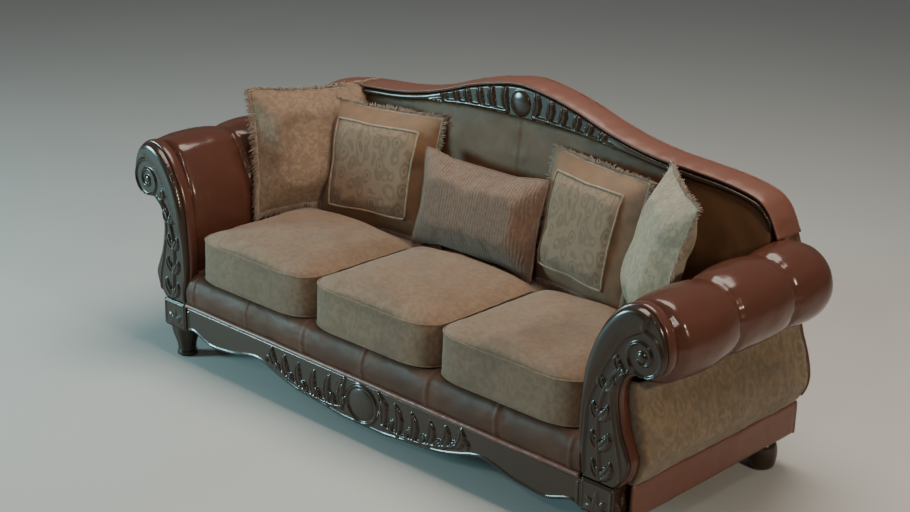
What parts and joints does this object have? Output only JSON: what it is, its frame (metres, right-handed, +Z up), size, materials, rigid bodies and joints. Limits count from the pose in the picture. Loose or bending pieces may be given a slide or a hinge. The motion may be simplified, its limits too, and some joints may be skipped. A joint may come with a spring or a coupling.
{
  "type": "leather sofa",
  "caption": "Worn camelback sofa with rolled leather arms, carved dark wood trim, loose fabric seat cushions and scatter pillows.",
  "frame": {"origin": "centre of the bounding box, on the floor under the feet", "axes": "+X along the length towards the sitter's left arm (viewer's right from the front), -Y to the front, +Z up"},
  "size_m": [2.42, 0.89, 1.077],
  "materials": {
    "carved_wood": "gloss",
    "arm_leather": "gloss",
    "trim_leather": "satin",
    "seat_fabric": "matte",
    "arm_fabric": "matte",
    "pleat_fabric": "matte",
    "border_fabric": "satin",
    "frame_wood": "matte",
    "spring_steel": "satin",
    "dust_fabric": "matte"
  },
  "bodies": {
    "root": {"apron": "carved_wood", "apron_welt": "trim_leather", "arm_end_cap_left": "arm_leather", "arm_end_cap_right": "arm_leather", "arm_facing_left": "carved_wood", "arm_facing_right": "carved_wood", "arm_pad_left": "arm_leather", "arm_pad_right": "arm_leather", "arm_rear_stump_left": "frame_wood", "arm_rear_stump_right": "frame_wood", "arm_stump_left": "frame_wood", "arm_stump_right": "frame_wood", "arm_top_rail_left": "frame_wood", "arm_top_rail_right": "frame_wood", "back_band": "trim_leather", "back_cap_left": "trim_leather", "back_cap_right": "trim_leather", "back_foot_left": "carved_wood", "back_foot_right": "carved_wood", "back_post_left": "frame_wood", "back_post_right": "frame_wood", "back_seat_rail": "frame_wood", "back_top_rail": "frame_wood", "back_upright_left": "frame_wood", "back_upright_right": "frame_wood", "centre_foot": "carved_wood", "corner_pillow_left": "seat_fabric", "corner_pillow_right": "seat_fabric", "crest_rail_left": "carved_wood", "crest_rail_right": "carved_wood", "cross_rail_left": "frame_wood", "cross_rail_right": "frame_wood", "dust_cover": "dust_fabric", "framed_pillow_left": "border_fabric", "framed_pillow_right": "border_fabric", "front_corner_block_left": "frame_wood", "front_corner_block_right": "frame_wood", "front_leg_left": "carved_wood", "front_leg_right": "carved_wood", "front_seat_rail": "frame_wood", "inside_back": "arm_leather", "lumbar_pillow": "pleat_fabric", "outside_arm_left": "arm_fabric", "outside_arm_right": "arm_fabric", "outside_back": "arm_fabric", "rear_corner_block_left": "frame_wood", "rear_corner_block_right": "frame_wood", "seat_border": "arm_leather", "seat_cushion_centre": "seat_fabric", "seat_cushion_left": "seat_fabric", "seat_cushion_right": "seat_fabric", "seat_deck": "dust_fabric", "seat_spring_1": "spring_steel", "seat_spring_2": "spring_steel", "seat_spring_3": "spring_steel", "seat_spring_4": "spring_steel", "side_band_left": "trim_leather", "side_band_right": "trim_leather", "side_seat_rail_left": "frame_wood", "side_seat_rail_right": "frame_wood"}
  },
  "joints": []
}
